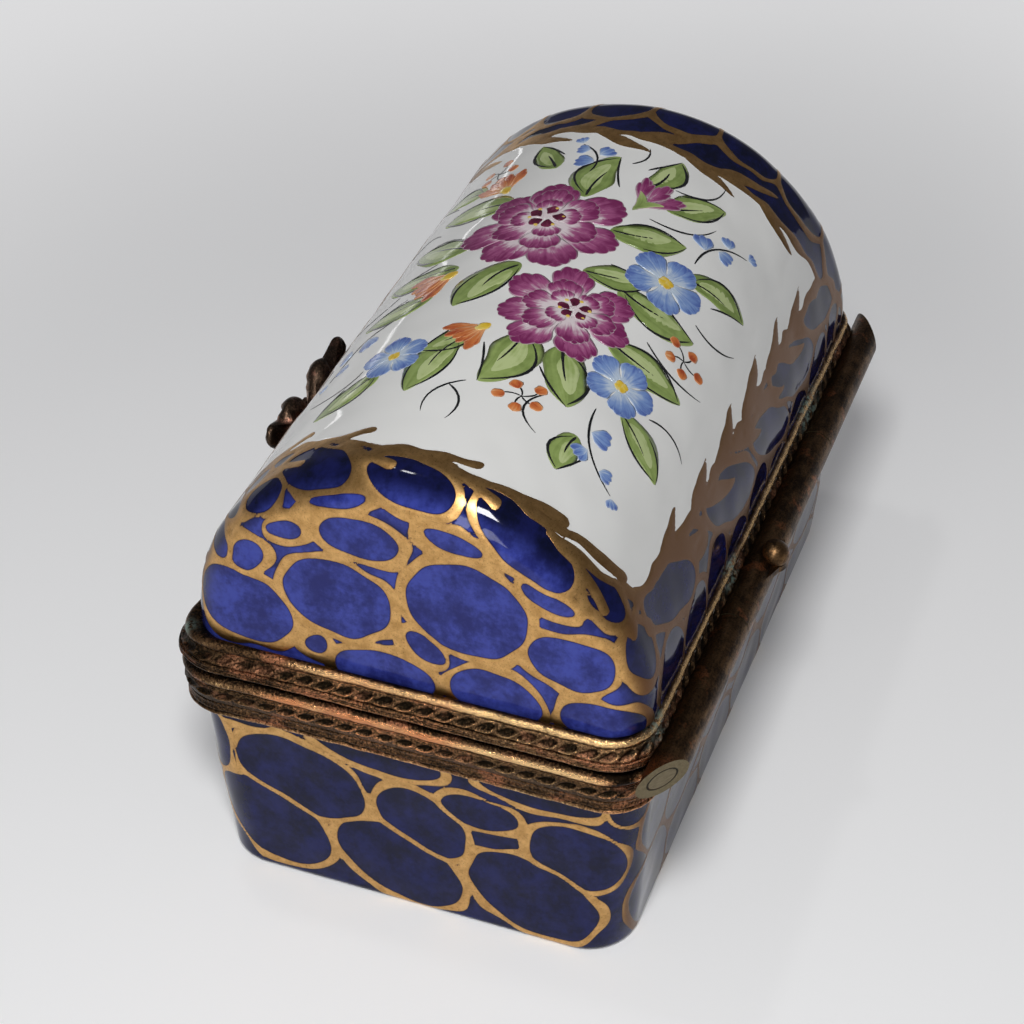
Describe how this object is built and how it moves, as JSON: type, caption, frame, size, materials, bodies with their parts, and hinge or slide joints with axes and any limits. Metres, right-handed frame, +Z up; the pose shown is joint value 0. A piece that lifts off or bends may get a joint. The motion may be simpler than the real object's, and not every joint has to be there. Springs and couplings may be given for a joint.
{
  "type": "trinket box",
  "caption": "Small porcelain keepsake chest with a barrel-vaulted hinged lid, brass rims with a cable pattern, a long tube hinge and a lobed front clasp.",
  "frame": {"origin": "centre of the flat underside of the base", "axes": "+X along the length, +Y towards the hinge, -Y the front with the clasp, +Z up"},
  "size_m": [0.0618, 0.0434, 0.0406],
  "materials": {
    "porcelain": "glossy cobalt glaze with a white reserve, gilding and enamel flowers",
    "rim_brass": "aged gilt brass, bright on high edges",
    "rope_brass": "pressed cable pattern, dark in the hollows",
    "hinge_brass": "dull brown patina, filed ends",
    "clasp_brass": "dark bronze patina",
    "pin_steel": "filed flush, dull",
    "cement": "matte plaster"
  },
  "bodies": {
    "base": {"porcelain_base": "porcelain", "base_rim": "rim_brass", "base_rope": "rope_brass", "base_cement": "cement", "hinge_knuckle_near": "hinge_brass", "hinge_knuckle_far": "hinge_brass", "hinge_pin": "pin_steel", "catch_plate": "rim_brass", "catch_bead": "clasp_brass"},
    "lid": {"porcelain_lid": "porcelain", "lid_rim": "rim_brass", "lid_rope": "rope_brass", "lid_cement": "cement", "hinge_knuckle_centre": "hinge_brass", "stop_tab": "hinge_brass", "stop_ball": "clasp_brass", "clasp_ornament": "clasp_brass", "clasp_bracket": "rim_brass", "clasp_rivets": "clasp_brass"}
  },
  "joints": [
    {"name": "lid_hinge", "type": "hinge", "parent": "base", "child": "lid", "pos_m": [0, 0.0191, 0.0205], "axis": [-1, 0, 0], "range_deg": [0, 100]}
  ]
}
